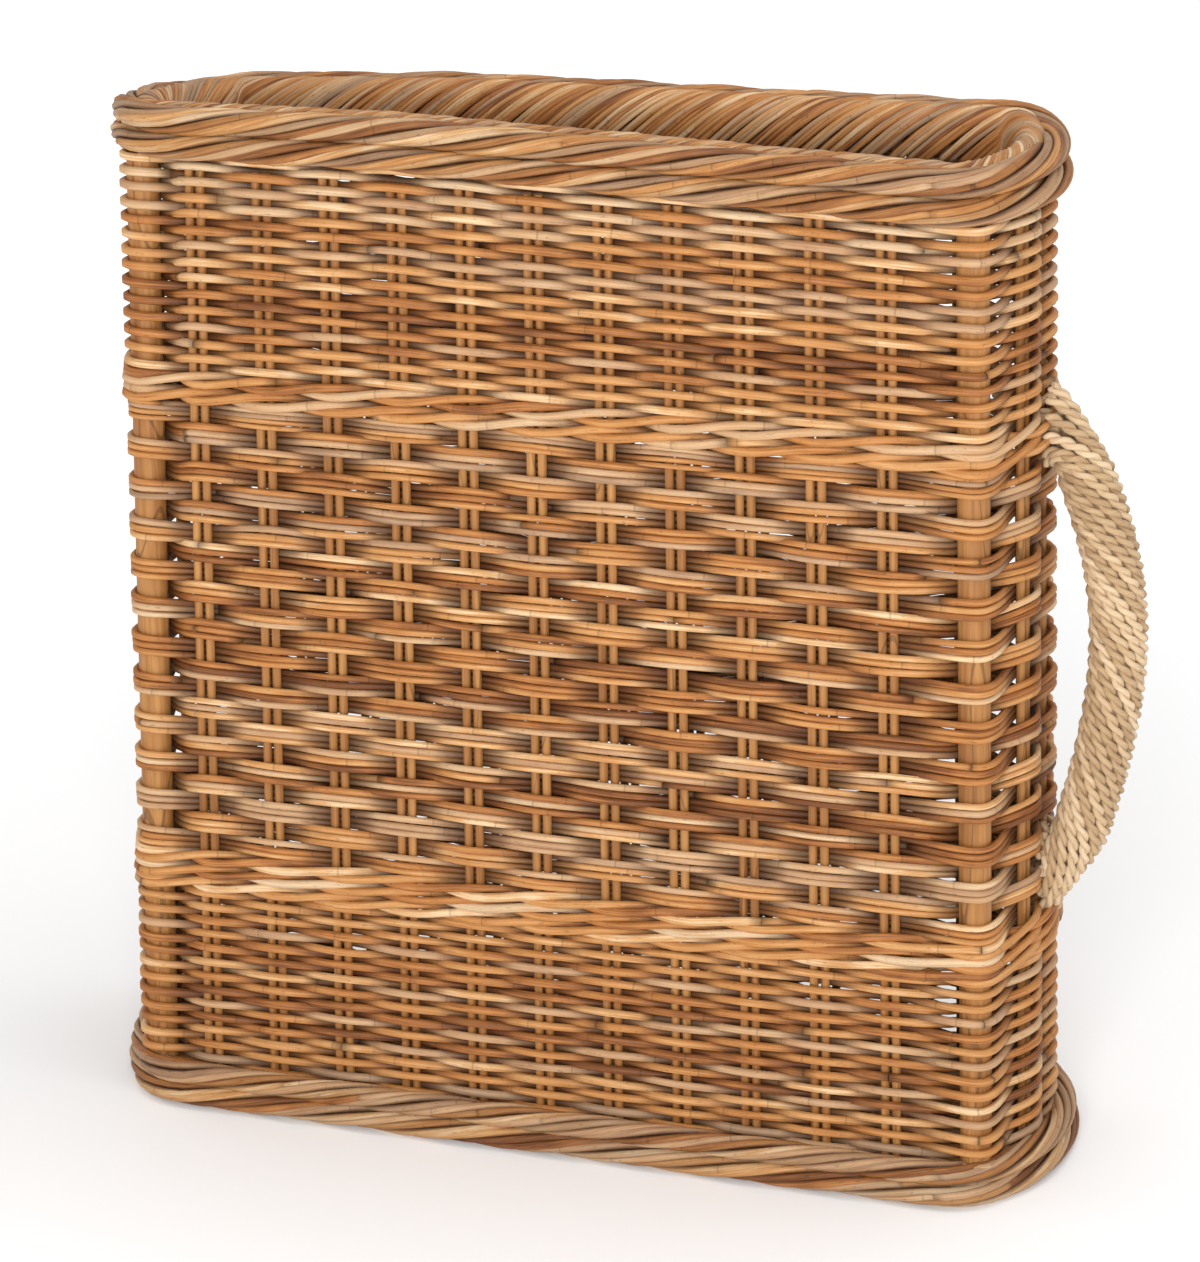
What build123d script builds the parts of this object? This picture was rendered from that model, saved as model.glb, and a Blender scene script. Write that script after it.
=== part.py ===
from build123d import *
import math
import os

# Slim wicker log basket with one rope handle.
# Frame: X along the long side, Y through the depth, Z up.
# The origin is at the middle of the underside, where the basket stands.

# Driving dimensions, mm
basket_height = 600.0
post_x = 242.0          # corner post from the middle, along X, at half height
post_y = 64.0           # corner post from the middle, along Y, at half height
flare_x = 5.5           # how far the foot stands out past half height, along X
flare_y = 2.5           # the same, along Y
end_bow = 14.0          # how far each end wall bows out between its posts
post_radius = 9.0
rod_radius = 2.5        # thin upright canes, used in pairs
rod_spacing = 6.6       # between the two canes of a pair
stake_offset = 4.0      # line of thin canes, outward from the posts' centres
front_pairs = 11
front_slide = -7.0      # the front pairs stand this far along X from an even spacing
end_pairs = 2
running_clearance = 0.2 # around each upright in the weave

# Heights of the woven bands, mm
frame_bottom = 3.0
frame_top = 20.0
lower_wale_bottom = 134.0
open_weave_bottom = 158.0
upper_wale_bottom = 430.0
upper_weave_bottom = 448.0
uprights_top = 566.0
hoop_top = 584.0

# Wall and borders. Each outline is a pair: how far it lies out (+) or in (-) from the
# posts' centre line, and how far its corner arc's centre is set in from the post's centre.
wall_outside = (11.5, 0.0)
wall_inside = (-2.5, 12.0)
hoop_outside = (8.0, 6.0)
hoop_inside = (-4.0, 14.0)
lower_roll_outside = (23.0, 14.0)
lower_roll_inside = (8.5, 6.0)
upper_roll_outside = (22.0, 14.0)
lap_outside = (-4.6, 14.0)
lap_inside = (-11.0, 20.0)
base_frame_outside = (11.3, 0.0)
base_frame_inside = (-5.0, 14.0)
base_roll_outside = (26.0, 10.0)
base_roll_inside = (12.0, 0.0)
base_mat_outside = (-5.3, 14.0)
base_roll_height = 26.0
seat_gap = 0.3          # at each end of an upright

upright_heights = (frame_top + seat_gap, uprights_top - seat_gap)

# Base panel
runner_radius = 4.5
runner_spacing = 34.0
mat_thickness = 5.0

# Nails that hold the corner posts
nail_radius = 1.0
nail_depth = 22.0

# Rope handle on the right-hand end
rope_radius = 17.0
rope_part_radius = 13.5 # where the cords start to part
rope_end_radius = 6.5
swing_axis_x = 277.0
root_radius = 7.0
root_gap = 0.4
knuckle_height = 14.0   # rounded part of each root, on the swing axis
return_width = 52.0
return_height = 44.0
return_thickness = 7.0
handle_route = [
    (277.0, 0.0, 166.0),
    (288.0, 0.0, 202.0),
    (298.0, 0.0, 240.0),
    (305.0, 0.0, 280.0),
    (307.5, 0.0, 318.0),
    (304.5, 0.0, 354.0),
    (296.0, 0.0, 388.0),
    (284.0, 0.0, 420.0),
    (277.0, 0.0, 446.0),
]


def flare(z):
    """Share of the flare at height z: 1 at the floor, 0 at half height, -1 at the top."""
    return 1.0 - 2.0 * z / basket_height


def post_place(z):
    """Distance of the corner posts from the middle, along X and Y, at height z."""
    return post_x + flare_x * flare(z), post_y + flare_y * flare(z)


def end_arc(line, z):
    """Centre and radius of the arc of an end wall, and the corner's centre and radius."""
    out, inset = line
    px, py = post_place(z)
    corner_x, corner_y = px - inset, py - inset
    corner_radius = inset + out
    radius = (2 * corner_radius * end_bow + end_bow ** 2 + corner_y ** 2) / (2 * end_bow)
    centre_x = corner_x + corner_radius + end_bow - radius
    return centre_x, radius, corner_x, corner_y, corner_radius


def outline(line, z):
    """Closed plan outline at height z: straight sides, bowed ends, round corners."""
    centre_x, radius, corner_x, corner_y, corner_radius = end_arc(line, z)
    meet = math.asin(corner_y / (radius - corner_radius))
    middle = (meet + math.pi / 2) / 2

    def corner_point(angle, side_x, side_y):
        x = corner_x + corner_radius * math.cos(angle)
        y = corner_y + corner_radius * math.sin(angle)
        return (side_x * x, side_y * y, z)

    edges = []
    for side_x in (1, -1):
        tip = (side_x * (centre_x + radius), 0, z)
        edges.append(ThreePointArc(corner_point(meet, side_x, -1), tip, corner_point(meet, side_x, 1)))
        for side_y in (1, -1):
            ends = [corner_point(a, side_x, side_y) for a in (meet, middle, math.pi / 2)]
            edges.append(ThreePointArc(*ends))
    for side_y in (1, -1):
        edges.append(Line(corner_point(math.pi / 2, 1, side_y), corner_point(math.pi / 2, -1, side_y)))
    return Wire(edges)


def flared_block(line, bottom, top):
    """Solid between an outline at two heights."""
    return Solid.make_loft([outline(line, bottom), outline(line, top)], ruled=True)


def ring(outside, inside, bottom, top):
    """Flared ring wall that follows the basket's outline."""
    return flared_block(outside, bottom, top) - flared_block(inside, bottom, top)


def upright(radius, foot, head):
    """Straight round cane from its foot to its head."""
    axis = Vector(*head) - Vector(*foot)
    place = Plane(origin=foot, z_dir=axis)
    return Solid.make_cylinder(radius, axis.length, place)


def post_ends(side_x, side_y, heights=upright_heights):
    """Foot and head of a corner post."""
    ends = []
    for z in heights:
        px, py = post_place(z)
        ends.append((side_x * px, side_y * py, z))
    return ends


def side_point(share, side, z):
    """Point on the line of thin canes along the front (side -1) or the back (side 1)."""
    px, py = post_place(z)
    slide = front_slide if side < 0 else 0.0
    return (share * px + slide, side * (py + stake_offset), z)


def end_point(y, side, z):
    """Point on the line of thin canes round an end wall."""
    centre_x, radius, *_ = end_arc((stake_offset, 0.0), z)
    return (side * (centre_x + math.sqrt(radius ** 2 - y ** 2)), y, z)


def side_pair(number, side, radius=rod_radius, heights=upright_heights):
    """Two thin canes of the front or back wall, numbered from the left."""
    share = 2.0 * number / (front_pairs + 1) - 1.0
    rods = []
    for step in (-0.5, 0.5):
        foot, head = (side_point(share, side, z) for z in heights)
        slide = Vector(step * rod_spacing, 0, 0)
        rods.append(upright(radius, Vector(*foot) + slide, Vector(*head) + slide))
    return rods


def end_pair(number, side, radius=rod_radius, heights=upright_heights):
    """Two thin canes of an end wall, numbered from the front."""
    middle = post_y * (2.0 * number / (end_pairs + 1) - 1.0)
    rods = []
    for step in (-0.5, 0.5):
        y = middle + step * rod_spacing
        rods.append(upright(radius, *(end_point(y, side, z) for z in heights)))
    return rods


def corner_names():
    """Name and signs of the four corners."""
    sides_x = {"left": -1, "right": 1}
    sides_y = {"front": -1, "back": 1}
    return {f"{ny}_{nx}": (sx, sy) for nx, sx in sides_x.items() for ny, sy in sides_y.items()}


def upright_channels():
    """Room for every upright in the woven bands."""
    heights = (frame_top - 1.0, uprights_top + 1.0)
    room = post_radius + running_clearance
    channels = [upright(room, *post_ends(*signs, heights)) for signs in corner_names().values()]
    room = rod_radius + running_clearance
    for side in (-1, 1):
        for number in range(1, front_pairs + 1):
            channels += side_pair(number, side, room, heights)
        for number in range(1, end_pairs + 1):
            channels += end_pair(number, side, room, heights)
    return channels


def nails(bottom, top):
    """Four nails on the corner posts' axes."""
    found = []
    for sx, sy in corner_names().values():
        px, py = post_place((bottom + top) / 2)
        place = Plane(origin=(sx * px, sy * py, bottom))
        found.append(Solid.make_cylinder(nail_radius, top - bottom, place))
    return found


def end_wall_face(line, z):
    """How far an outline reaches at the right-hand end, at height z."""
    centre_x, radius, *_ = end_arc(line, z)
    return centre_x + radius


def root_plug(z, radius):
    """Rope where it passes through the end wall at height z, up to the knuckle it turns on."""
    start = end_wall_face(wall_inside, z) - return_thickness
    reach = swing_axis_x - rope_end_radius - root_gap - start
    return Solid.make_cylinder(radius, reach, Plane(origin=(start, 0, z), z_dir=(1, 0, 0)))


def rope_return(z):
    """Rope end inside: the plug through the wall and the tail round the end canes."""
    face = end_wall_face(wall_inside, z)
    depth = return_thickness + 4.0
    tail = Box(depth, return_width, return_height)
    tail = Pos(face - 4.0 - depth / 2, 0, z) * fillet(tail.edges().filter_by(Axis.X), 8.0)
    return tail.solids()[0] + root_plug(z, root_radius)


def rope_middle(points):
    """Rope of full thickness along straight runs joined by tangent arcs."""
    radii = []
    for before, here, after in zip(points, points[1:], points[2:]):
        run = min((here - before).length, (after - here).length)
        turn = math.radians((here - before).get_angle(after - here))
        radii.append(0.45 * run / math.tan(turn / 2))
    path = Wire(FilletPolyline(*points, radius=radii).edges().sort_by(Axis.Z))
    start = path.position_at(0)
    profile = Plane(origin=start, z_dir=path.tangent_at(0)) * Circle(rope_radius)
    return sweep(profile, path=path).solids()[0]


def handle_rope():
    """Thick rope that thins towards each root, where its cords part and go into the wall."""
    points = [Vector(*p) for p in handle_route]
    rope = rope_middle(points[2:-2])
    radii = (rope_end_radius, rope_part_radius, rope_radius)
    for run in (points[:3], points[:-4:-1]):
        for number in (0, 1):
            thin, thick = run[number], run[number + 1]
            axis = thick - thin
            place = Plane(origin=thin, z_dir=axis)
            rope += Solid.make_cone(radii[number], radii[number + 1], axis.length, place)
            rope += Pos(*thick) * Sphere(radii[number + 1])
        place = Plane(origin=(swing_axis_x, 0, run[0].Z - knuckle_height / 2))
        rope += Solid.make_cylinder(rope_end_radius, knuckle_height, place)
    return rope.solids()[0]


def base_runners():
    """Long canes under the base mat, between the two ends of the base frame."""
    height = frame_bottom + runner_radius + 0.5
    found = {}
    for number, y in enumerate((-runner_spacing, 0.0, runner_spacing), start=1):
        centre_x, radius, *_ = end_arc(base_frame_inside, frame_bottom)
        reach = centre_x + math.sqrt(radius ** 2 - (abs(y) + runner_radius) ** 2) - 0.5
        found[f"base_runner_{number}"] = upright(runner_radius, (-reach, y, height), (reach, y, height))
    return found


def straight_block(line, bottom, top):
    """Upright solid of the outline at the middle of its height."""
    middle = (bottom + top) / 2
    return extrude(Pos(0, 0, bottom - middle) * Face(outline(line, middle)), top - bottom)


def rounded_ring(outside, inside, bottom, top, rounding, low_rounding):
    """Border roll: an upright ring with its outer edges rounded."""
    outer = straight_block(outside, bottom, top)
    outer = fillet(outer.edges().group_by(Axis.Z)[-1], rounding)
    outer = fillet(outer.edges().group_by(Axis.Z)[0], low_rounding)
    return outer - straight_block(inside, bottom, top)


def build_uprights():
    """Corner posts and pairs of thin canes, each in a node of its own."""
    nodes = {}
    for name, signs in corner_names().items():
        nodes[f"corner_post_{name}"] = upright(post_radius, *post_ends(*signs))
    for side, wall in ((-1, "front"), (1, "back")):
        for number in range(1, front_pairs + 1):
            nodes[f"stake_pair_{wall}_{number:02d}"] = Compound(side_pair(number, side))
    for side, wall in ((-1, "left"), (1, "right")):
        for number in range(1, end_pairs + 1):
            nodes[f"stake_pair_{wall}_{number}"] = Compound(end_pair(number, side))
    return nodes


def build_bands(handle_heights):
    """Woven bands, from the base up, with a channel for every upright."""
    levels = {
        "lower_fine_weave": (frame_top, lower_wale_bottom),
        "lower_wale": (lower_wale_bottom, open_weave_bottom),
        "open_weave": (open_weave_bottom, upper_wale_bottom),
        "upper_wale": (upper_wale_bottom, upper_weave_bottom),
        "upper_fine_weave": (upper_weave_bottom, uprights_top),
    }
    channels = upright_channels()
    holes = [root_plug(z, root_radius + running_clearance) for z in handle_heights]
    nodes = {}
    for name, (bottom, top) in levels.items():
        band = ring(wall_outside, wall_inside, bottom, top)
        nodes[name] = band - channels - holes
    return nodes


def build_rim():
    """Top hoop on the uprights, the two border rolls and the lapping inside."""
    pins = nails(uprights_top - nail_depth, hoop_top)
    nodes = {"rim_nails": Compound(pins)}
    nodes["rim_hoop"] = ring(hoop_outside, hoop_inside, uprights_top, hoop_top) - pins
    nodes["rim_lower_roll"] = rounded_ring(
        lower_roll_outside, lower_roll_inside, uprights_top, hoop_top, 5.0, 8.0)
    nodes["rim_upper_roll"] = rounded_ring(
        upper_roll_outside, hoop_inside, hoop_top, basket_height, 8.0, 5.0)
    nodes["rim_inner_lap"] = rounded_ring(
        lap_outside, lap_inside, uprights_top, basket_height - 3.0, 2.0, 1.0)
    return nodes


def build_base():
    """Base frame, the roll that covers it, the woven mat and its runners."""
    pins = nails(frame_bottom, frame_top + nail_depth)
    nodes = {"base_nails": Compound(pins)}
    nodes["base_frame"] = ring(base_frame_outside, base_frame_inside, frame_bottom, frame_top) - pins
    nodes["base_roll"] = rounded_ring(
        base_roll_outside, base_roll_inside, 0.0, base_roll_height, 9.0, 4.0)
    mat_bottom = frame_bottom + 2 * runner_radius + 1.0
    nodes["base_mat"] = flared_block(base_mat_outside, mat_bottom, mat_bottom + mat_thickness)
    nodes.update(base_runners())
    return nodes


def build():
    """Every piece of the basket by name."""
    roots = (handle_route[0][2], handle_route[-1][2])
    nodes = build_uprights()
    nodes.update(build_bands(roots))
    nodes.update(build_rim())
    nodes.update(build_base())
    for name in list(nodes):
        if name.startswith("corner_post"):
            for group in ("rim_nails", "base_nails"):
                nodes[name] = nodes[name] - nodes[group]
    nodes["rope_end_lower"] = rope_return(roots[0])
    nodes["rope_end_upper"] = rope_return(roots[1])
    nodes["rope_handle"] = handle_rope()
    return nodes


os.makedirs("parts", exist_ok=True)
for node, shape in build().items():
    export_step(shape, f"parts/{node}.step")
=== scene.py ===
import math
import bpy
import numpy as np
from mathutils import Matrix, Vector


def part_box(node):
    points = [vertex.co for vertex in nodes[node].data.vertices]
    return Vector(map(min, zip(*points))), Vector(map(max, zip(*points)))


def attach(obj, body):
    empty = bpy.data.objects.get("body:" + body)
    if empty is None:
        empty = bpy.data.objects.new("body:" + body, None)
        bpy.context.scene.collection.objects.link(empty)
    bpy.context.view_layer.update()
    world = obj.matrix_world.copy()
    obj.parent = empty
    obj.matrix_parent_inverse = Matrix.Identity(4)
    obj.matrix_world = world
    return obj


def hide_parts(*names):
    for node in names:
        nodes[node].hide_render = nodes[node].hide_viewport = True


# Looks of a slim wicker log basket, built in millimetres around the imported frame.
# The walk round the basket is anticlockwise seen from above, so it runs along +X on the front.

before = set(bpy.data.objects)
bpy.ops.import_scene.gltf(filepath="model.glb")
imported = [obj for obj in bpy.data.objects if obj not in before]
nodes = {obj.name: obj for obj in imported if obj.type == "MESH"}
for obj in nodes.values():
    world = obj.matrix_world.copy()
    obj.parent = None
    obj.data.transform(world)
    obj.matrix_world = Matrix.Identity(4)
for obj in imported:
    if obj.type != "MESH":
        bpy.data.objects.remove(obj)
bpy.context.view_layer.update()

MM = 0.001
UP = np.array((0.0, 0.0, 1.0))
rng = np.random.default_rng(7)

# Sizes shared with the frame, mm
basket_height = 600.0
post_x, post_y = 242.0, 64.0
flare_x, flare_y = 5.5, 2.5
end_bow = 14.0
post_radius = 9.0
rod_radius = 2.5
front_pairs = 11
open_bottom, open_top = 158.0, 430.0
rim_bottom = 566.0

# Route of the rope handle from its lower root to its upper one, in metres
handle_route = [
    (0.277, 0.0, 0.166),
    (0.288, 0.0, 0.202),
    (0.298, 0.0, 0.240),
    (0.305, 0.0, 0.280),
    (0.3075, 0.0, 0.318),
    (0.3045, 0.0, 0.354),
    (0.296, 0.0, 0.388),
    (0.284, 0.0, 0.420),
    (0.277, 0.0, 0.446),
]

# How far in from the posts the rolls' corner centres lie, mm
roll_inset = 22.0

# Twisted rolls: step along a cane, lengths of the canes and how far their ends dip, mm,
# how strongly the canes draw together in bunches, and how much shade is painted into the
# grooves between the bunches
roll_step = 5.0
roll_cane_lengths = (300.0, 900.0)
end_dip = 1.8
bunch_pull, bunch_swell, groove_shade = 0.17, 0.07, 0.16

# How far a cane sinks where it passes inside an upright, mm
drop = 2.4

# How a cane goes past a post: how far from it and how far inside the wall it tucks in, mm,
# and how far round the post it hugs it, radians
tuck_away, tuck_in = 13.0, 4.0
post_hug = 0.75

# How loosely a cane goes round the uprights of the bowed ends, mm
end_slack = 2.5

# How far the hand-woven rim turns out of level and dips at its left-hand end, mm, and the
# share by which it is tighter there
rim_twist = 9.0
rim_dip = 8.0
rim_tightness = 0.1

# Where that dip starts, the run over which it grows, and the level the rim tightens to, mm
dip_start, dip_run = -90.0, 180.0
settled_level = 594.0


def unit(vectors):
    """Vectors scaled to length 1."""
    return vectors / np.maximum(np.linalg.norm(vectors, axis=-1, keepdims=True), 1e-12)


def smooth_step(share):
    """0 to 1 with level ends."""
    share = np.clip(share, 0.0, 1.0)
    return share * share * (3 - 2 * share)


def lean(points):
    """Draws the rim a little out of level, the way a hand-woven one settles.

    Its left-hand end stands high at the front and low at the back, dips at its tip and is
    woven tighter.
    """
    points = np.array(points, float)
    share = np.clip((points[:, 2] - open_top) / (rim_bottom - open_top), 0.0, 1.0)
    leftness = np.clip(0.5 - points[:, 0] / (2 * post_x), 0.0, 1.0)
    across = np.clip(-points[:, 1] / post_y, -1.0, 1.0)
    tip = np.clip((dip_start - points[:, 0]) / dip_run, 0.0, 1.0)
    tight = rim_tightness * share**2 * leftness * (settled_level - points[:, 2])
    points[:, 2] += share * (rim_twist * leftness * across - rim_dip * tip) + tight
    return points


def distances(points):
    """How far along its line each point lies."""
    steps = np.linalg.norm(np.diff(points, axis=0), axis=1)
    return np.concatenate(([0.0], np.cumsum(steps)))


class Canes:
    """Collects round canes or cords and turns them into one mesh."""

    def __init__(self, sides):
        self.sides = sides
        self.points, self.grain, self.tone, self.deep = [], [], [], []
        self.loops, self.lengths = [], []
        self.count = 0

    def add(self, points, radius, outward, tone=None, grey=None, deep=0.0, hollow=0.0):
        """One cane along points, with its section's corners counted from the outward side.

        The last two settings paint shade: the first says how much shade is painted on each point,
        from 0 to 1, where it lies in the wall's shade, and the second how much shade is painted on
        the side away from outward.
        """
        points = np.asarray(points, float)
        amount, sides = len(points), self.sides
        ahead = unit(np.gradient(points, axis=0))
        outward = np.broadcast_to(outward, points.shape)
        top = unit(outward - (outward * ahead).sum(1)[:, None] * ahead)
        side = np.cross(ahead, top)
        radius = np.broadcast_to(np.asarray(radius, float), amount)
        angle = 2 * np.pi * np.arange(sides) / sides
        cos, sin = np.cos(angle)[None, :, None], np.sin(angle)[None, :, None]
        rings = points[:, None] + radius[:, None, None] * (top[:, None] * cos + side[:, None] * sin)
        along = distances(points)
        near_end = np.exp(-np.minimum(along, along[-1] - along) / 1.5)
        grain = np.zeros((amount, sides, 3))
        grain[..., 0] = (along + rng.uniform(0.0, 9000.0))[:, None]
        grain[..., 1] = radius[:, None] * cos[..., 0]
        grain[..., 2] = radius[:, None] * sin[..., 0]
        colour = np.zeros((amount, sides, 4))
        colour[..., 0] = rng.beta(2.0, 2.0) if tone is None else tone
        colour[..., 1] = rng.uniform() if grey is None else grey
        colour[..., 2] = near_end[:, None]
        colour[..., 3] = rng.uniform()
        self.points.append(rings.reshape(-1, 3))
        self.grain.append(grain.reshape(-1, 3))
        self.tone.append(colour.reshape(-1, 4))
        # Painted shade: darker where the cane lies in the wall's shade and on its side away from
        # outward
        shade = np.broadcast_to(np.asarray(deep, float), amount)[:, None]
        shade = shade + hollow * np.clip(0.55 - cos[..., 0], 0.0, 1.0)
        self.deep.append(np.clip(shade, 0.0, 1.0).reshape(-1))
        self._faces(amount)

    def _faces(self, amount):
        """Side faces of one cane and its two flat ends."""
        sides, start = self.sides, self.count
        ring = start + sides * np.arange(amount - 1)[:, None]
        here, there = np.arange(sides)[None, :], (np.arange(sides)[None, :] + 1) % sides
        quads = np.stack((ring + here, ring + there, ring + sides + there, ring + sides + here), -1)
        self.loops.append(quads.reshape(-1))
        self.lengths.append(np.full(quads.shape[0] * quads.shape[1], 4))
        last = start + sides * (amount - 1)
        self.loops.append(start + np.arange(sides)[::-1])
        self.loops.append(last + np.arange(sides))
        self.lengths.append(np.full(2, sides))
        self.count += sides * amount

    def piece(self, name, material, body, replaced):
        """Makes the mesh object, hangs it on its body's empty and hides the frame nodes it stands
        for.
        """
        loops, lengths = np.concatenate(self.loops), np.concatenate(self.lengths)
        mesh = bpy.data.meshes.new(name)
        mesh.vertices.add(self.count)
        mesh.vertices.foreach_set("co", (np.concatenate(self.points) * MM).ravel())
        mesh.loops.add(len(loops))
        mesh.loops.foreach_set("vertex_index", loops.astype(np.int32))
        mesh.polygons.add(len(lengths))
        starts = np.concatenate(([0], np.cumsum(lengths)[:-1]))
        mesh.polygons.foreach_set("loop_start", starts.astype(np.int32))
        mesh.polygons.foreach_set("use_smooth", lengths == 4)
        mesh.update(calc_edges=True)
        grain = mesh.attributes.new("grain", "FLOAT_VECTOR", "POINT")
        grain.data.foreach_set("vector", (np.concatenate(self.grain) * MM).ravel())
        tone = mesh.attributes.new("tone", "FLOAT_COLOR", "POINT")
        tone.data.foreach_set("color", np.concatenate(self.tone).ravel())
        # Painted shade for each corner of the canes' sections
        deep = mesh.attributes.new("deep", "FLOAT", "POINT")
        deep.data.foreach_set("value", np.concatenate(self.deep))
        mesh.materials.append(material)
        made = bpy.data.objects.new(name, mesh)
        bpy.context.scene.collection.objects.link(made)
        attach(made, body)
        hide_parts(*replaced)
        return made


def curve_through(keys, pieces, closed):
    """Smooth line through the keys, with pieces steps between each two."""
    keys = np.asarray(keys, float)
    if closed:
        keys = np.concatenate((keys[-1:], keys, keys[:2]))
    else:
        keys = np.concatenate((2 * keys[:1] - keys[1:2], keys, 2 * keys[-1:] - keys[-2:-1]))
    p0, p1, p2, p3 = keys[:-3], keys[1:-2], keys[2:-1], keys[3:]
    d0, d1, d2 = (
        np.sqrt(np.maximum(np.linalg.norm(b - a, axis=1), 1e-6))[:, None, None]
        for a, b in ((p0, p1), (p1, p2), (p2, p3))
    )
    p0, p1, p2, p3 = (p[:, None] for p in (p0, p1, p2, p3))
    start = (p1 - p0) / d0 - (p2 - p0) / (d0 + d1) + (p2 - p1) / d1
    end = (p2 - p1) / d1 - (p3 - p1) / (d1 + d2) + (p3 - p2) / d2
    start, end = start * d1, end * d1
    t = np.linspace(0.0, 1.0, pieces, endpoint=False)[None, :, None]
    line = (
        (2 * t**3 - 3 * t**2 + 1) * p1
        + (t**3 - 2 * t**2 + t) * start
        + (3 * t**2 - 2 * t**3) * p2
        + (t**3 - t**2) * end
    )
    line = line.reshape(-1, keys.shape[1])
    return line if closed else np.concatenate((line, keys[-2:-1]))


def ripple(amount, size, waves):
    """Slow random wander along a closed row."""
    turn = np.linspace(0.0, 2 * np.pi, amount, endpoint=False)
    found = np.zeros(amount)
    for wave in range(1, waves + 1):
        found += rng.normal() * np.sin(wave * turn + rng.uniform(0.0, 2 * np.pi))
    return size * found / math.sqrt(waves)


class Outline:
    """Plan line round the basket at one height: a place and an outward normal for each step."""

    def __init__(self, inset, height):
        share = 1.0 - 2.0 * height / basket_height
        corner_x = post_x + flare_x * share - inset
        corner_y = post_y + flare_y * share - inset
        radius = inset
        end_radius = (2 * radius * end_bow + end_bow**2 + corner_y**2) / (2 * end_bow)
        centre_x = corner_x + radius + end_bow - end_radius
        meet = math.asin(corner_y / (end_radius - radius))
        quarter = math.pi / 2
        arcs = [
            (corner_x, -corner_y, radius, -quarter, -meet),
            (centre_x, 0.0, end_radius, -meet, meet),
            (corner_x, corner_y, radius, meet, quarter),
            (-corner_x, corner_y, radius, quarter, math.pi - meet),
            (-centre_x, 0.0, end_radius, math.pi - meet, math.pi + meet),
            (-corner_x, -corner_y, radius, math.pi + meet, 3 * quarter),
        ]
        places, normals = [], []
        for x, y, size, first, last in arcs:
            angle = np.linspace(first, last, 24)
            normal = np.stack((np.cos(angle), np.sin(angle)), 1)
            places.append(np.array((x, y)) + size * normal)
            normals.append(normal)
        self.places = np.concatenate(places + [places[0][:1]])
        self.normals = np.concatenate(normals + [normals[0][:1]])
        self.along = distances(self.places)
        self.length = self.along[-1]

    def at(self, along, reach, height):
        """Points reach outside the line, at the given heights, and the normals there."""
        along = np.mod(along, self.length)
        x, y, nx, ny = (
            np.interp(along, self.along, column)
            for column in (*self.places.T, *self.normals.T)
        )
        normal = unit(np.stack((nx, ny, np.zeros_like(nx)), 1))
        points = np.stack((x, y, np.zeros_like(x) + height), 1)
        return points + normal * np.reshape(reach, (-1, 1)), normal


def upright_line(name):
    """Foot and head of an upright, read from its node."""
    mesh = nodes[name].data
    co = np.empty(len(mesh.vertices) * 3)
    mesh.vertices.foreach_get("co", co)
    co = co.reshape(-1, 3) / MM
    low, high = co[:, 2].min(), co[:, 2].max()
    foot = co[co[:, 2] < low + 2.0].mean(0)
    head = co[co[:, 2] > high - 2.0].mean(0)
    return foot, head


def walk_names():
    """Uprights in the order of the walk, from the front left post."""
    front = [f"stake_pair_front_{n:02d}" for n in range(1, front_pairs + 1)]
    back = [f"stake_pair_back_{n:02d}" for n in range(front_pairs, 0, -1)]
    return (
        ["corner_post_front_left"] + front + ["corner_post_front_right"]
        + ["stake_pair_right_1", "stake_pair_right_2", "corner_post_back_right"]
        + back + ["corner_post_back_left", "stake_pair_left_2", "stake_pair_left_1"]
    )


walk = walk_names()
is_post = np.array([name.startswith("corner") for name in walk])
is_end = np.array(["_left_" in name or "_right_" in name for name in walk])
upright_feet, upright_heads = (np.array(p) for p in zip(*(upright_line(n) for n in walk)))


def upright_places(height):
    """Places of all uprights at one height, and the wall's outward normal at each."""
    share = (height - upright_feet[:, 2:]) / (upright_heads[:, 2:] - upright_feet[:, 2:])
    places = upright_feet + share * (upright_heads - upright_feet)
    before, after = np.roll(places, 1, axis=0), np.roll(places, -1, axis=0)
    normals = unit(np.cross(after - before, UP))
    return places, normals


def woven_keys(height, outside, reach, rise):
    """Keys of a cane that goes outside or inside each upright in turn.

    reach is how far the cane lies from each upright's thin canes, rise its height there.
    The fourth part of a key is how far outside the wall it lies.
    """
    places, normals = upright_places(height)
    keys = []
    for number, (place, normal) in enumerate(zip(places, normals)):
        sign = 1.0 if outside[number] else -1.0
        lift = UP * rise[number]
        ahead = np.cross(UP, normal)
        if not is_post[number]:
            loose = end_slack if is_end[number] and outside[number] else 0.0
            key = place + sign * (reach[number] + loose) * normal + lift
            keys.append((*key, sign * reach[number]))
            continue
        stand = reach[number] + post_radius - rod_radius
        if not outside[number]:
            before = unit(places[number - 1] - place)
            after = unit(places[(number + 1) % len(places)] - place)
            keys.append((*(place + tuck_away * before - tuck_in * normal + lift), -1.0))
            keys.append((*(place - stand * normal + lift), -reach[number]))
            keys.append((*(place + tuck_away * after - tuck_in * normal + lift), -1.0))
            continue
        for turn in (-post_hug, 0.0, post_hug):
            way = math.cos(turn) * normal + math.sin(turn) * ahead
            keys.append((*(place + stand * way + lift), reach[number]))
    return np.array(keys)


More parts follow.
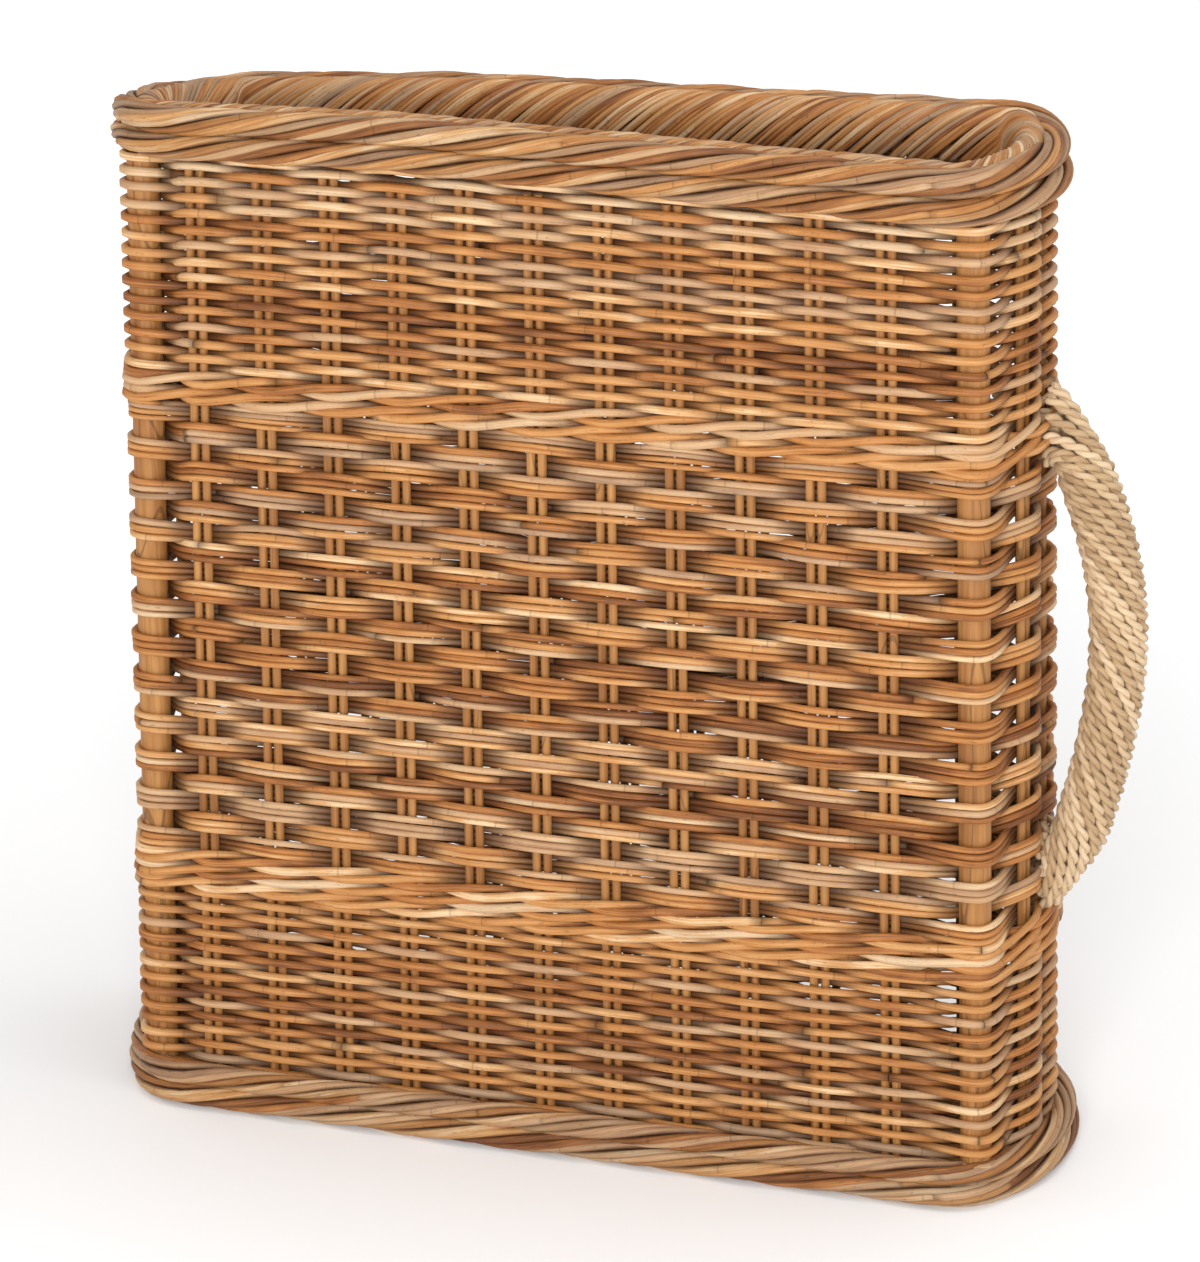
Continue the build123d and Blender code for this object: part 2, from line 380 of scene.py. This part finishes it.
def add_row(canes, keys, pieces, radius, wander, lengths):
    """A woven ring of canes, cut into lengths that meet end to end."""
    line = curve_through(keys, pieces, True)
    amount = len(line)
    # Shade painted where the cane lies inside the wall, behind the uprights
    deep = smooth_step((2.5 - line[:, 3]) / 6.5)
    line = line[:, :3]
    line[:, 2] += ripple(amount, wander, 9)
    line = lean(line)
    sizes = radius * (1.0 + ripple(amount, 0.03, 24))
    step = np.linalg.norm(np.roll(line, -1, axis=0) - line, axis=1).mean()
    start, left = rng.integers(amount), amount
    while left > 0:
        run = int(rng.uniform(*lengths) / step)
        run = left if left - run < 0.25 * lengths[0] / step else min(run, left)
        index = (start + np.arange(run + 1)) % amount
        canes.add(line[index], sizes[index], UP, deep=deep[index])
        start, left = start + run, left - run


def fine_band(name, bottom, top, rows, radius, node):
    """Close weave of single canes, one over and one under."""
    canes = Canes(6)
    pitch = (top - bottom) / rows
    count = len(walk)
    for row in range(rows):
        height = bottom + (row + 0.5) * pitch
        outside = (np.arange(count) + row) % 2 == 0
        rise = np.where(outside, 0.5, -drop) + rng.normal(0.0, 0.35, count)
        size = radius * rng.uniform(0.93, 1.07)
        reach = np.full(count, rod_radius + 0.7 * size)
        keys = woven_keys(height, outside, reach, rise)
        add_row(canes, keys, 5, size, 0.25, (500.0, 1700.0))
    canes.piece(name, cane_finish, "basket", (node,))


def open_band(name, rows):
    """Open weave of rows of three or four canes that lie side by side."""
    canes = Canes(6)
    pitch = (open_top - open_bottom) / rows
    count = len(walk)
    for row in range(rows):
        height = open_top - (row + 0.5) * pitch
        outside = (np.arange(count) + row) % 2 == 0
        strands = 4 if row == 0 or rng.uniform() < 0.12 else 3
        shared = rng.normal(0.0, 0.55, count)
        for strand in range(strands):
            place = strand - (strands - 1) / 2
            radius = 2.05 * rng.uniform(0.92, 1.08) * (3.3 / (strands + 0.3))
            spread = np.where(outside, 2.05, 1.9) * radius
            rise = place * spread + np.where(outside, 0.5, -drop) + shared
            rise = rise + rng.normal(0.0, 0.2, count)
            reach = np.full(count, rod_radius + 0.8 * radius + rng.uniform(0.0, 0.3))
            keys = woven_keys(height, outside, reach, rise)
            add_row(canes, keys, 5, radius, 0.12, (450.0, 1500.0))
    canes.piece(name, cane_finish, "basket", ("open_weave",))


def wale(name, bottom, top, rounds, radius, node):
    """Rounds of three canes, each over two uprights and behind one, climbing as it goes."""
    canes = Canes(7)
    count = len(walk)
    pitch = (top - bottom) / rounds
    for turn in range(rounds):
        height = bottom + (turn + 0.5) * pitch
        for cane in range(3):
            phase = (np.arange(count) + cane + turn) % 3
            outside = phase != 0
            rise = np.choose(phase, (0.0, -0.27 * pitch, 0.27 * pitch))
            rise = rise + rng.normal(0.0, 0.3, count)
            size = radius * rng.uniform(0.93, 1.06)
            reach = np.choose(phase, (-0.4, 0.9, 0.0)) + rod_radius + size
            keys = woven_keys(height, outside, reach, rise)
            add_row(canes, keys, 5, size, 0.15, (420.0, 1300.0))
    canes.piece(name, cane_finish, "basket", (node,))


def twisted_roll(canes, outline, reach, height, across, tall, strands, turn_length, radius):
    """Border roll: canes laid side by side in a slow twist round the outline.

    One path goes round the basket once for each strand, so the twist meets itself, and the
    strands draw together in three bunches with grooves between them.
    """
    shares = round(outline.length / turn_length * strands)
    while math.gcd(shares, strands) > 1:
        shares += 1
    whole = strands * outline.length
    amount = int(whole / roll_step)
    along = np.linspace(0.0, whole, amount, endpoint=False)
    angle = 2 * np.pi * shares * along / whole
    bunch = 3 * angle - 2 * np.pi * round(3 * shares / strands) * along / outline.length
    angle = angle - bunch_pull * np.sin(bunch)
    swell = 1.0 + bunch_swell * np.cos(bunch) + ripple(amount, 0.04, 60)
    centre, normal = outline.at(along, reach, height)
    cos, sin = np.cos(angle)[:, None], np.sin(angle)[:, None]
    outward = unit(normal * cos * tall + UP * sin * across)
    line = centre + swell[:, None] * (across * normal * cos + tall * UP * sin)
    line = lean(line)
    # Shade painted into the grooves between the bunches and on each cane's side turned into the
    # roll
    painted_groove_shade = groove_shade * (1.0 - np.cos(bunch))
    first, left = 0, amount
    while left > 0:
        run = int(rng.uniform(*roll_cane_lengths) / roll_step)
        run = left if left - run < 50 else min(run, left)
        steps = np.arange(run + 2)
        index = (first + steps) % amount
        dip = end_dip * np.exp(-np.minimum(steps, steps[::-1]) / 1.2)[:, None]
        size = radius * rng.uniform(0.9, 1.1)
        place = line[index] - outward[index] * dip
        canes.add(place, size, outward[index], deep=painted_groove_shade[index], hollow=1.5)
        first, left = first + run, left - run


def filler(canes, outline, reach, height, radius):
    """Core that a roll is laid round."""
    along = np.linspace(0.0, outline.length, int(outline.length / 9.0))
    points, normal = outline.at(along, reach, height)
    # The core gets the darkest tone and painted shade, as it lies inside its roll
    canes.add(lean(points), radius, UP, tone=0.1, grey=0.0, deep=0.7)


def rim_rolls():
    """The two border rolls on the outside of the rim, and the hoop that they hide."""
    upper = Canes(8)
    line = Outline(roll_inset, 592.0)
    filler(upper, line, 12.0, 590.4, 4.6)
    twisted_roll(
        upper, line, reach=12.0, height=590.2, across=7.0, tall=6.2,
        strands=10, turn_length=165.0, radius=2.45,
    )
    upper.piece("upper_rim_canes", border_finish, "basket", ("rim_upper_roll",))
    lower = Canes(8)
    filler(lower, line, 14.6, 575.0, 3.9)
    for height in (570.5, 578.5):
        filler(lower, line, 2.0, height, 4.2)
    twisted_roll(
        lower, line, reach=14.8, height=575.2, across=5.7, tall=5.6,
        strands=8, turn_length=150.0, radius=2.45,
    )
    stands_for = ("rim_lower_roll", "rim_hoop")
    lower.piece("lower_rim_canes", border_finish, "basket", stands_for)


def inner_lap():
    """Canes that come over the rim and slant down its inside."""
    canes = Canes(6)
    line = Outline(14.0, 590.0)
    amount = 290
    section = np.array((
        (7.0, 593.0), (2.5, 596.6), (-3.0, 596.4), (-7.2, 591.8),
        (-9.2, 585.0), (-9.6, 576.5), (-8.0, 567.5),
    ))
    for cane in range(amount):
        start = line.length * (cane + rng.uniform(-0.1, 0.1)) / amount
        advance = rng.uniform(57.0, 61.0)
        share = np.linspace(0.0, 1.0, len(section))
        lift = rng.normal(0.0, 0.3)
        keys = np.column_stack((start + advance * share, section + (lift * 0.4, lift)))
        keys = curve_through(keys, 4, False)
        points, normal = line.at(keys[:, 0], keys[:, 1], keys[:, 2])
        away = np.column_stack((keys[:, 1] - 6.0, keys[:, 2] - 584.0))
        outward = normal * away[:, :1] + UP * away[:, 1:]
        # Shade painted on the side of each cane turned in towards the rim
        canes.add(lean(points), rng.uniform(1.6, 2.0), unit(outward), hollow=0.8)
    for height, reach in ((592.0, 0.0), (583.0, -4.4), (574.0, -4.8)):
        filler(canes, line, reach, height, 4.0)
    canes.piece("rim_lap_canes", border_finish, "basket", ("rim_inner_lap",))


def foot_roll():
    """Two twisted rolls that the basket stands on."""
    canes = Canes(8)
    line = Outline(roll_inset, 12.0)
    filler(canes, line, 16.2, 19.2, 3.5)
    filler(canes, line, 18.2, 7.8, 3.5)
    twisted_roll(
        canes, line, reach=16.2, height=19.2, across=5.5, tall=4.8,
        strands=8, turn_length=150.0, radius=2.4,
    )
    twisted_roll(
        canes, line, reach=18.2, height=7.8, across=5.4, tall=4.9,
        strands=8, turn_length=170.0, radius=2.4,
    )
    canes.piece("foot_canes", border_finish, "basket", ("base_roll",))


def base_mat():
    """Woven floor of the basket, between the base frame's sides."""
    low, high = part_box("base_mat")
    low, high = np.array(low) / MM, np.array(high) / MM
    middle = (low[2] + high[2]) / 2
    canes = Canes(6)
    reach_x, reach_y = high[0] - 12.0, high[1] - 3.0
    stakes = np.linspace(-reach_x + 14.0, reach_x - 14.0, 25)
    for x in stakes:
        canes.add([(x, y, middle) for y in np.linspace(-reach_y, reach_y, 8)], 1.6, UP)
    rows = np.arange(-reach_y + 3.0, reach_y - 2.0, 4.4)
    for number, y in enumerate(rows):
        ends = [(-reach_x, y, middle), (reach_x, y, middle)]
        swing = [(x, y, middle + (1.7 if (n + number) % 2 else -1.7)) for n, x in enumerate(stakes)]
        keys = ends[:1] + swing + ends[1:]
        canes.add(curve_through(keys, 3, False), rng.uniform(1.7, 2.1), (0.0, 1.0, 0.0))
    canes.piece("base_mat_canes", cane_finish, "basket", ("base_mat",))


def rope_line():
    """Centre line of the rope handle: a smooth curve guided by the points of its route."""
    data = bpy.data.curves.new("rope_route", "CURVE")
    data.dimensions = "3D"
    data.resolution_u = 24
    spline = data.splines.new("NURBS")
    spline.points.add(len(handle_route) - 1)
    for point, place in zip(spline.points, handle_route):
        point.co = (*place, 1.0)
    spline.order_u = 3
    spline.use_endpoint_u = True
    holder = bpy.data.objects.new("rope_route", data)
    mesh = bpy.data.meshes.new_from_object(holder)
    co = np.empty(len(mesh.vertices) * 3)
    mesh.vertices.foreach_get("co", co)
    bpy.data.objects.remove(holder)
    bpy.data.curves.remove(data)
    bpy.data.meshes.remove(mesh)
    return co.reshape(-1, 3) / MM


def two_ply(canes, line, outward, ply, lay, tone):
    """A cord of two plies twisted round each other."""
    ahead = unit(np.gradient(line, axis=0))
    top = unit(outward - (outward * ahead).sum(1)[:, None] * ahead)
    side = np.cross(ahead, top)
    along = distances(line)
    start = rng.uniform(0.0, np.pi)
    for half in (0.0, np.pi):
        angle = (start + half - 2 * np.pi * along / lay)[:, None]
        way = np.cos(angle) * top + np.sin(angle) * side
        canes.add(line + 0.88 * ply * way, ply, way, tone + rng.uniform(-0.12, 0.12))


def rope_handle():
    """Thick twisted handle of two-ply cords that part where they go into the wall.

    The cords lie in a ring round a core and turn once round it in each pitch.
    """
    raw = rope_line()
    reach = distances(raw)
    length = reach[-1]
    along = np.linspace(0.0, length, int(length / 1.3))
    centre = np.stack([np.interp(along, reach, column) for column in raw.T], 1)
    ahead = unit(np.gradient(centre, axis=0))
    across = np.array((0.0, 1.0, 0.0))
    away = unit(np.cross(across, ahead))
    away = away * np.sign(away[:, :1])
    canes = Canes(6)
    cords, pitch, ring = 12, 142.0, 13.4
    ply, lay, core = 1.84, 19.0, 12.6
    part, into_wall = 44.0, 267.0
    for cord in range(cords):
        angle = 2 * np.pi * cord / cords - 2 * np.pi * along / pitch
        cos, sin = np.cos(angle)[:, None], np.sin(angle)[:, None]
        outward = away * cos + across * sin
        line = centre + ring * outward
        for first, spread, middle in ((True, 26.0, 177.5), (False, 23.0, 438.0)):
            end = 0 if first else -1
            gap = along if first else length - along
            share = smooth_step(1.0 - gap / part)[:, None]
            lift = -spread * cos[end, 0] if first else spread * cos[end, 0]
            target = np.array((into_wall, 11.0 * sin[end, 0], middle + lift))
            line = line + share**1.6 * (target - line)
        two_ply(canes, line, outward, ply, lay, rng.uniform(0.4, 0.75))
    inside = (along > 14.0) & (along < length - 14.0)
    taper = np.clip(np.minimum(along, length - along)[inside] / 40.0, 0.45, 1.0)
    canes.add(centre[inside], core * taper, across, 0.3, 0.0)
    made = canes.piece("rope_grip", rope_finish, "handle", ("rope_handle",))


def rope_tails():
    """Cord ends inside, wound round the end canes where the handle goes through the wall."""
    for name, node, height in (
        ("lower_rope_tail", "rope_end_lower", 171.0),
        ("upper_rope_tail", "rope_end_upper", 439.0),
    ):
        low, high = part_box(node)
        inner = low[0] / MM + 3.6
        canes = Canes(6)
        for number in range(6):
            z = height + (number - 2.5) * 6.6
            side = 1.0 if number % 2 else -1.0
            bend = 22.0 + rng.uniform(-2.0, 2.0)
            keys = [
                (272.0, 2.0 * side, height + (number - 2.5) * 1.6),
                (inner + 7.0, 1.5 * side, height + (number - 2.5) * 3.4),
                (inner, -3.0 * side, z),
                (inner - 0.5, -12.0 * side, z + 0.5),
                (inner + 0.5, -bend * side, z),
                (inner + 4.5, -(bend + 2.0) * side, z),
            ]
            line = curve_through(keys, 14, False)
            outward = np.broadcast_to((-0.8, 0.0, 0.6), line.shape)
            two_ply(canes, line, outward, 1.6, 19.0, rng.uniform(0.3, 0.7))
        canes.piece(name, rope_finish, "basket", (node,))


# Finishes

class Graph:
    """Short calls for a material's nodes."""

    def __init__(self, name):
        self.material = bpy.data.materials.new(name)
        self.material.use_nodes = True
        self.tree = self.material.node_tree
        self.shader = self.tree.nodes["Principled BSDF"]

    def node(self, kind, **settings):
        """A new node with its properties set."""
        made = self.tree.nodes.new(kind)
        for key, value in settings.items():
            setattr(made, key, value)
        return made

    def put(self, socket, value):
        """Joins a socket or sets its value."""
        if hasattr(value, "is_output"):
            self.tree.links.new(value, socket)
        else:
            socket.default_value = value

    def math(self, operation, first, second=0.0, third=None):
        """One arithmetic step."""
        made = self.node("ShaderNodeMath", operation=operation)
        self.put(made.inputs[0], first)
        self.put(made.inputs[1], second)
        if third is not None:
            self.put(made.inputs[2], third)
        return made.outputs[0]

    def stretch(self, vector, scale):
        """Vector with each part scaled."""
        made = self.node("ShaderNodeMapping")
        self.put(made.inputs["Vector"], vector)
        made.inputs["Scale"].default_value = scale
        return made.outputs[0]

    def noise(self, vector, detail=2.0, rough=0.5):
        """Noise from 0 to 1."""
        made = self.node("ShaderNodeTexNoise")
        self.put(made.inputs["Vector"], vector)
        made.inputs["Scale"].default_value = 1.0
        made.inputs["Detail"].default_value = detail
        made.inputs["Roughness"].default_value = rough
        return made.outputs["Fac"]

    def ramp(self, share, stops):
        """Colour from a row of (place, colour) stops."""
        made = self.node("ShaderNodeValToRGB")
        self.put(made.inputs[0], share)
        row = made.color_ramp.elements
        while len(row) < len(stops):
            row.new(0.5)
        for element, (place, colour) in zip(row, stops):
            element.position = place
            element.color = (*colour, 1.0)
        return made.outputs[0]

    def mix(self, share, first, second, blend="MIX"):
        """Mix of two colours."""
        made = self.node("ShaderNodeMix", data_type="RGBA", blend_type=blend)
        self.put(made.inputs["Factor"], share)
        self.put(made.inputs["A"], first)
        self.put(made.inputs["B"], second)
        return made.outputs["Result"]

    def shade(self, colour, factor):
        """Colour times a number."""
        grey = self.node("ShaderNodeCombineColor")
        for part in range(3):
            self.put(grey.inputs[part], factor)
        return self.mix(1.0, colour, grey.outputs[0], "MULTIPLY")

    def bump(self, height, distance, strength):
        """Bump on the shader's normal."""
        made = self.node("ShaderNodeBump")
        made.inputs["Strength"].default_value = strength
        made.inputs["Distance"].default_value = distance
        self.put(made.inputs["Height"], height)
        self.put(self.shader.inputs["Normal"], made.outputs[0])


def srgb(red, green, blue):
    """Linear colour from its everyday 0 to 255 parts."""
    return tuple(((c / 255 + 0.055) / 1.055) ** 2.4 for c in (red, green, blue))


cane_row = [
    (0.0, srgb(116, 68, 32)),
    (0.18, srgb(152, 94, 46)),
    (0.36, srgb(178, 116, 60)),
    (0.54, srgb(190, 132, 74)),
    (0.72, srgb(200, 146, 90)),
    (0.88, srgb(210, 165, 114)),
    (1.0, srgb(224, 190, 148)),
]


def finish_cane(name, roughness, lift):
    """Unpeeled cane: long streaks, mottled patches, joints every span and dark cut ends, and
    painted shade where a cane lies in the wall's shade or turns its side away.
    """
    g = Graph(name)
    grain = g.node("ShaderNodeAttribute", attribute_name="grain").outputs["Vector"]
    tone = g.node("ShaderNodeAttribute", attribute_name="tone")
    parts = g.node("ShaderNodeSeparateColor")
    g.put(parts.inputs[0], tone.outputs["Color"])
    base, grey, end = parts.outputs
    spacing = tone.outputs["Alpha"]
    streak = g.noise(g.stretch(grain, (28.0, 900.0, 900.0)), 3.0, 0.55)
    patch = g.noise(g.stretch(grain, (34.0, 90.0, 90.0)), 2.0, 0.5)
    fleck = g.noise(g.stretch(grain, (260.0, 700.0, 700.0)), 2.0, 0.6)
    share = g.math("MULTIPLY_ADD", g.math("SUBTRACT", patch, 0.5), 0.8, base)
    share = g.math("MULTIPLY_ADD", g.math("SUBTRACT", streak, 0.5), 0.8, share)
    colour = g.ramp(share, cane_row)
    dull = g.math("MULTIPLY", g.math("GREATER_THAN", grey, 0.7), 0.62)
    dull = g.math("MULTIPLY", dull, g.math("ADD", patch, 0.3))
    colour = g.mix(dull, colour, (*srgb(196, 170, 138), 1.0))
    along = g.node("ShaderNodeSeparateXYZ")
    g.put(along.inputs[0], grain)
    span = g.math("MULTIPLY_ADD", spacing, 0.12, 0.09)
    inside = g.math("MODULO", along.outputs[0], span)
    joint = g.math("LESS_THAN", inside, 0.0009)
    scar = g.math("MULTIPLY", g.math("LESS_THAN", inside, 0.004), 0.07)
    dark = g.math("MULTIPLY_ADD", joint, -0.25, 1.0)
    dark = g.math("SUBTRACT", dark, scar)
    dark = g.math("MULTIPLY", dark, g.math("MULTIPLY_ADD", end, -0.55, 1.0))
    spots = g.math("MULTIPLY", g.math("GREATER_THAN", fleck, 0.66), 0.28)
    dark = g.math("MULTIPLY", dark, g.math("SUBTRACT", 1.0, spots))
    dark = g.math("MULTIPLY", dark, g.math("MULTIPLY_ADD", streak, 0.5, 0.75 * lift))
    # Painted shade: darker and browner where the canes lie in the wall's shade, in the rolls'
    # grooves and on their sides turned away
    deep = g.node("ShaderNodeAttribute", attribute_name="deep").outputs["Fac"]
    dark = g.math("MULTIPLY", dark, g.math("MULTIPLY_ADD", deep, -0.6, 1.0))
    colour = g.mix(g.math("MULTIPLY", deep, 0.6), colour, (*srgb(120, 62, 22), 1.0))
    g.put(g.shader.inputs["Base Color"], g.shade(colour, dark))
    g.put(g.shader.inputs["Roughness"], g.math("MULTIPLY_ADD", fleck, 0.3, roughness))
    g.shader.inputs["Specular IOR Level"].default_value = 0.35
    g.bump(g.math("ADD", streak, g.math("MULTIPLY", joint, -0.6)), 0.0004, 0.45)
    return g.material


def finish_upright(name):
    """Cane of the posts and pairs, whose grain runs up."""
    g = Graph(name)
    place = g.node("ShaderNodeTexCoord").outputs["Object"]
    streak = g.noise(g.stretch(place, (420.0, 420.0, 14.0)), 3.0, 0.6)
    patch = g.noise(g.stretch(place, (60.0, 60.0, 9.0)), 2.0, 0.5)
    share = g.math("MULTIPLY_ADD", streak, 0.55, g.math("MULTIPLY", patch, 0.5))
    colour = g.ramp(share, [
        (0.2, srgb(88, 50, 22)),
        (0.45, srgb(148, 96, 46)),
        (0.7, srgb(184, 132, 74)),
    ])
    rings = g.noise(g.stretch(place, (34.0, 34.0, 7.0)), 0.0, 0.0)
    ring = g.math("LESS_THAN", g.math("ABSOLUTE", g.math("SUBTRACT", rings, 0.5)), 0.006)
    dark = g.math("MULTIPLY_ADD", ring, -0.4, 1.0)
    g.put(g.shader.inputs["Base Color"], g.shade(colour, dark))
    g.put(g.shader.inputs["Roughness"], g.math("MULTIPLY_ADD", streak, 0.25, 0.42))
    g.shader.inputs["Specular IOR Level"].default_value = 0.4
    g.bump(streak, 0.0004, 0.4)
    return g.material


def finish_rope(name):
    """Dry plant-fibre cord: pale, matt, with fine hairs of fibre along each ply."""
    g = Graph(name)
    grain = g.node("ShaderNodeAttribute", attribute_name="grain").outputs["Vector"]
    tone = g.node("ShaderNodeAttribute", attribute_name="tone")
    parts = g.node("ShaderNodeSeparateColor")
    g.put(parts.inputs[0], tone.outputs["Color"])
    fibre = g.noise(g.stretch(grain, (120.0, 2600.0, 2600.0)), 3.0, 0.6)
    patch = g.noise(g.stretch(grain, (40.0, 90.0, 90.0)), 2.0, 0.5)
    share = g.math("MULTIPLY_ADD", g.math("SUBTRACT", fibre, 0.5), 0.7, parts.outputs[0])
    share = g.math("MULTIPLY_ADD", g.math("SUBTRACT", patch, 0.5), 0.5, share)
    colour = g.ramp(share, [
        (0.0, srgb(128, 92, 56)),
        (0.3, srgb(178, 146, 108)),
        (0.6, srgb(205, 175, 136)),
        (1.0, srgb(228, 204, 170)),
    ])
    g.put(g.shader.inputs["Base Color"], colour)
    g.shader.inputs["Roughness"].default_value = 0.85
    g.shader.inputs["Specular IOR Level"].default_value = 0.2
    g.shader.inputs["Sheen Weight"].default_value = 0.15
    g.bump(fibre, 0.0006, 0.7)
    return g.material


def finish_nail(name):
    """Dull drawn steel."""
    g = Graph(name)
    place = g.node("ShaderNodeTexCoord").outputs["Object"]
    wear = g.noise(g.stretch(place, (900.0, 900.0, 300.0)), 3.0, 0.6)
    colour = g.ramp(wear, [(0.3, srgb(120, 114, 106)), (0.7, srgb(172, 168, 162))])
    g.put(g.shader.inputs["Base Color"], colour)
    g.put(g.shader.inputs["Roughness"], g.math("MULTIPLY_ADD", wear, 0.3, 0.3))
    g.shader.inputs["Metallic"].default_value = 1.0
    return g.material


cane_finish = finish_cane("woven cane", 0.44, 0.97)
border_finish = finish_cane("border cane", 0.42, 0.8)
upright_finish = finish_upright("upright cane")
rope_finish = finish_rope("plant fibre rope")
nail_finish = finish_nail("nail steel")


def dress_frame():
    """Gives every piece of the frame its own finish."""
    for name, node in nodes.items():
        finish = nail_finish if name.endswith("nails") else upright_finish
        node.data.materials.clear()
        node.data.materials.append(finish)


def settled_copy(name):
    """A rigid piece of the frame, drawn up or down with the rim at its upper end."""
    mesh = nodes[name].data.copy()
    places = np.empty(len(mesh.vertices) * 3)
    mesh.vertices.foreach_get("co", places)
    mesh.vertices.foreach_set("co", (lean(places.reshape(-1, 3) / MM) * MM).ravel())
    made = bpy.data.objects.new("settled_" + name, mesh)
    bpy.context.scene.collection.objects.link(made)
    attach(made, "basket")
    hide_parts(name)


# Studio

def floor():
    """Pale floor under the basket, which glows more further out so that it runs into white."""
    mesh = bpy.data.meshes.new("floor")
    size = 12.0
    corners = [(-size, -size, 0), (size, -size, 0), (size, size, 0), (-size, size, 0)]
    mesh.from_pydata(corners, [], [(0, 1, 2, 3)])
    made = bpy.data.objects.new("floor", mesh)
    bpy.context.scene.collection.objects.link(made)
    g = Graph("floor")
    g.shader.inputs["Base Color"].default_value = (0.86, 0.86, 0.86, 1.0)
    g.shader.inputs["Roughness"].default_value = 0.9
    g.shader.inputs["Specular IOR Level"].default_value = 0.1
    g.shader.inputs["Emission Color"].default_value = (1.0, 1.0, 1.0, 1.0)
    place = g.node("ShaderNodeTexCoord").outputs["Object"]
    away = g.node("ShaderNodeVectorMath", operation="LENGTH")
    g.put(away.inputs[0], place)
    glow = g.node("ShaderNodeMapRange", interpolation_type="SMOOTHSTEP")
    g.put(glow.inputs["Value"], away.outputs["Value"])
    for label, value in (("From Min", 0.3), ("From Max", 1.7), ("To Min", 0.1), ("To Max", 0.4)):
        glow.inputs[label].default_value = value
    g.put(g.shader.inputs["Emission Strength"], glow.outputs[0])
    mesh.materials.append(g.material)


def area_light(name, place, target, size, power):
    """Soft square light aimed at a point."""
    data = bpy.data.lights.new(name, "AREA")
    data.shape = "SQUARE"
    data.size = size
    data.energy = power
    made = bpy.data.objects.new(name, data)
    made.location = place
    away = np.array(place) - np.array(target)
    made.rotation_mode = "QUATERNION"
    made.rotation_quaternion = Vector(away).to_track_quat("Z", "Y")
    bpy.context.scene.collection.objects.link(made)


def studio():
    """White surroundings and soft lights."""
    world = bpy.data.worlds.new("studio")
    world.use_nodes = True
    back = world.node_tree.nodes["Background"]
    back.inputs["Color"].default_value = (1.0, 1.0, 1.0, 1.0)
    back.inputs["Strength"].default_value = 0.74
    bright = world.node_tree.nodes.new("ShaderNodeBackground")
    bright.inputs["Strength"].default_value = 1.0
    seen = world.node_tree.nodes.new("ShaderNodeLightPath")
    mixed = world.node_tree.nodes.new("ShaderNodeMixShader")
    join = world.node_tree.links.new
    join(seen.outputs["Is Camera Ray"], mixed.inputs[0])
    join(back.outputs[0], mixed.inputs[1])
    join(bright.outputs[0], mixed.inputs[2])
    join(mixed.outputs[0], world.node_tree.nodes["World Output"].inputs["Surface"])
    bpy.context.scene.world = world
    area_light("key", (0.6, -2.5, 1.15), (0.0, 0.0, 0.28), 0.9, 42.0)
    area_light("top", (0.5, 0.1, 2.4), (0.0, 0.0, 0.4), 1.2, 13.0)
    bpy.context.scene.view_settings.view_transform = "Standard"


def camera():
    """Camera in front of the basket, a little to its right and above it."""
    azimuth, elevation, roll = (math.radians(a) for a in (18.74, 20.4, -0.80))
    distance = 2.957
    back = np.array((
        math.sin(azimuth) * math.cos(elevation),
        -math.cos(azimuth) * math.cos(elevation),
        math.sin(elevation),
    ))
    right = np.array((math.cos(azimuth), math.sin(azimuth), 0.0))
    up = np.cross(back, right)
    turned_right = right * math.cos(roll) + up * math.sin(roll)
    turned_up = -right * math.sin(roll) + up * math.cos(roll)
    data = bpy.data.cameras.new("camera")
    data.sensor_width = 36.0
    data.lens = 148.2219
    data.shift_x = 0.0079715
    data.shift_y = -0.0127496
    data.clip_end = 60.0
    made = bpy.data.objects.new("camera", data)
    place = np.array((0.0, 0.0, 0.3)) + distance * back
    rows = np.eye(4)
    rows[:3, 0], rows[:3, 1], rows[:3, 2], rows[:3, 3] = turned_right, turned_up, back, place
    made.matrix_world = Matrix(rows.tolist())
    bpy.context.scene.collection.objects.link(made)
    bpy.context.scene.camera = made


# The whole basket, in its surroundings

dress_frame()
for name in ("front_left", "front_right", "back_left", "back_right"):
    settled_copy("corner_post_" + name)
settled_copy("rim_nails")
fine_band("lower_fine_canes", 20.0, 134.0, 26, 2.58, "lower_fine_weave")
wale("lower_wale_canes", 134.0, open_bottom, 3, 2.5, "lower_wale")
open_band("open_canes", 23)
wale("upper_wale_canes", open_top, 448.0, 2, 2.6, "upper_wale")
fine_band("upper_fine_canes", 448.0, 567.0, 27, 2.58, "upper_fine_weave")
rim_rolls()
inner_lap()
foot_roll()
base_mat()
rope_handle()
rope_tails()
floor()
studio()
camera()
